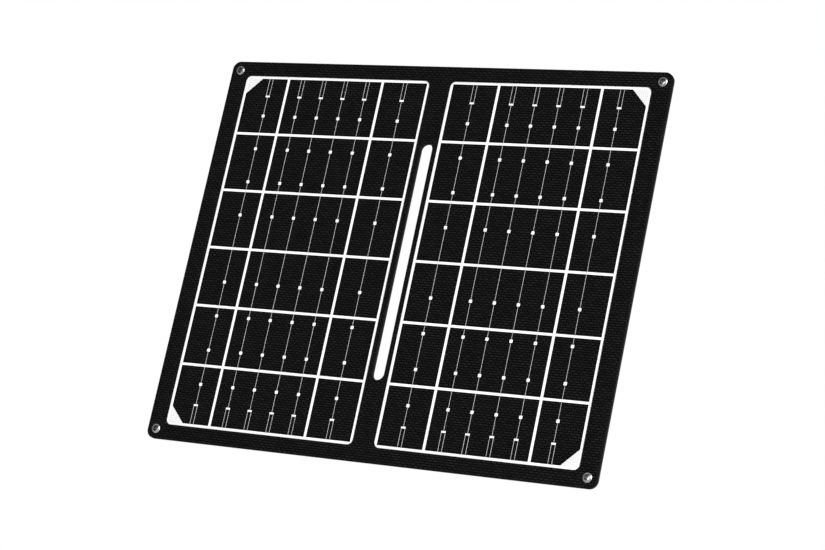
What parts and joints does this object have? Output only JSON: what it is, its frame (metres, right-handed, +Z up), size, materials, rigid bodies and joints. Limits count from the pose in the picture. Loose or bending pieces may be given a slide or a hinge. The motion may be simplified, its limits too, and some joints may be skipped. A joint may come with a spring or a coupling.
{
  "type": "folding solar panel",
  "caption": "Thin black solar panel that folds like a book, with dark cells in white grid lines, a slotted centre strip, metal corner eyelets and an output box on the back.",
  "frame": {"origin": "centre of the overall box in X and Y, at the panel's lower edge in Z; X = 0 is the middle of the spine", "axes": "the panel hangs upright and open: +X to the viewer's right along its width, +Z up along its height and the spine, and the cells face -Y"},
  "size_m": [0.32, 0.0162, 0.262],
  "materials": {
    "front_film": "clear textured fluoropolymer film, satin",
    "cell": "black monocrystalline silicon, satin",
    "backsheet": "white polyester sheet",
    "core_board": "black glass-fibre board, and a flexible polymer in the spine",
    "back_cover": "black coated woven polyester",
    "eyelet": "nickel-plated, bright",
    "box_shell": "black moulded plastic, fine texture",
    "regulator_board": "green circuit board",
    "usb_socket": "tinned steel shell"
  },
  "bodies": {
    "left_leaf": {"front_film_left": "front_film", "cell_left_row1_inner": "cell", "cell_left_row1_wide": "cell", "cell_left_row1_outer": "cell", "cell_left_row2_inner": "cell", "cell_left_row2_wide": "cell", "cell_left_row2_outer": "cell", "cell_left_row3_inner": "cell", "cell_left_row3_wide": "cell", "cell_left_row3_outer": "cell", "cell_left_row4_inner": "cell", "cell_left_row4_wide": "cell", "cell_left_row4_outer": "cell", "cell_left_row5_inner": "cell", "cell_left_row5_wide": "cell", "cell_left_row5_outer": "cell", "cell_left_row6_inner": "cell", "cell_left_row6_wide": "cell", "cell_left_row6_outer": "cell", "backsheet_left": "backsheet", "core_board_left": "core_board", "back_cover_left": "back_cover", "corner_patch_top_left": "core_board", "eyelet_top_left": "eyelet", "corner_patch_bottom_left": "core_board", "eyelet_bottom_left": "eyelet", "output_box_housing": "box_shell", "output_box_lid": "box_shell", "regulator_board": "regulator_board", "usb_socket_a": "usb_socket", "usb_socket_b": "usb_socket"},
    "spine": {"front_film_spine": "front_film", "spine_core": "core_board", "back_cover_spine": "back_cover"},
    "right_leaf": {"front_film_right": "front_film", "cell_right_row1_inner": "cell", "cell_right_row1_wide": "cell", "cell_right_row1_outer": "cell", "cell_right_row2_inner": "cell", "cell_right_row2_wide": "cell", "cell_right_row2_outer": "cell", "cell_right_row3_inner": "cell", "cell_right_row3_wide": "cell", "cell_right_row3_outer": "cell", "cell_right_row4_inner": "cell", "cell_right_row4_wide": "cell", "cell_right_row4_outer": "cell", "cell_right_row5_inner": "cell", "cell_right_row5_wide": "cell", "cell_right_row5_outer": "cell", "cell_right_row6_inner": "cell", "cell_right_row6_wide": "cell", "cell_right_row6_outer": "cell", "backsheet_right": "backsheet", "core_board_right": "core_board", "back_cover_right": "back_cover", "corner_patch_top_right": "core_board", "eyelet_top_right": "eyelet", "corner_patch_bottom_right": "core_board", "eyelet_bottom_right": "eyelet"}
  },
  "joints": [
    {"name": "crease_left", "type": "hinge", "parent": "left_leaf", "child": "spine", "pos_m": [-0.0059, -0.00755, 0.131], "axis": [0, 0, -1], "range_deg": [0, 91.5]},
    {"name": "crease_right", "type": "hinge", "parent": "spine", "child": "right_leaf", "pos_m": [0.0059, -0.00755, 0.131], "axis": [0, 0, -1], "range_deg": [0, 91.5]}
  ]
}
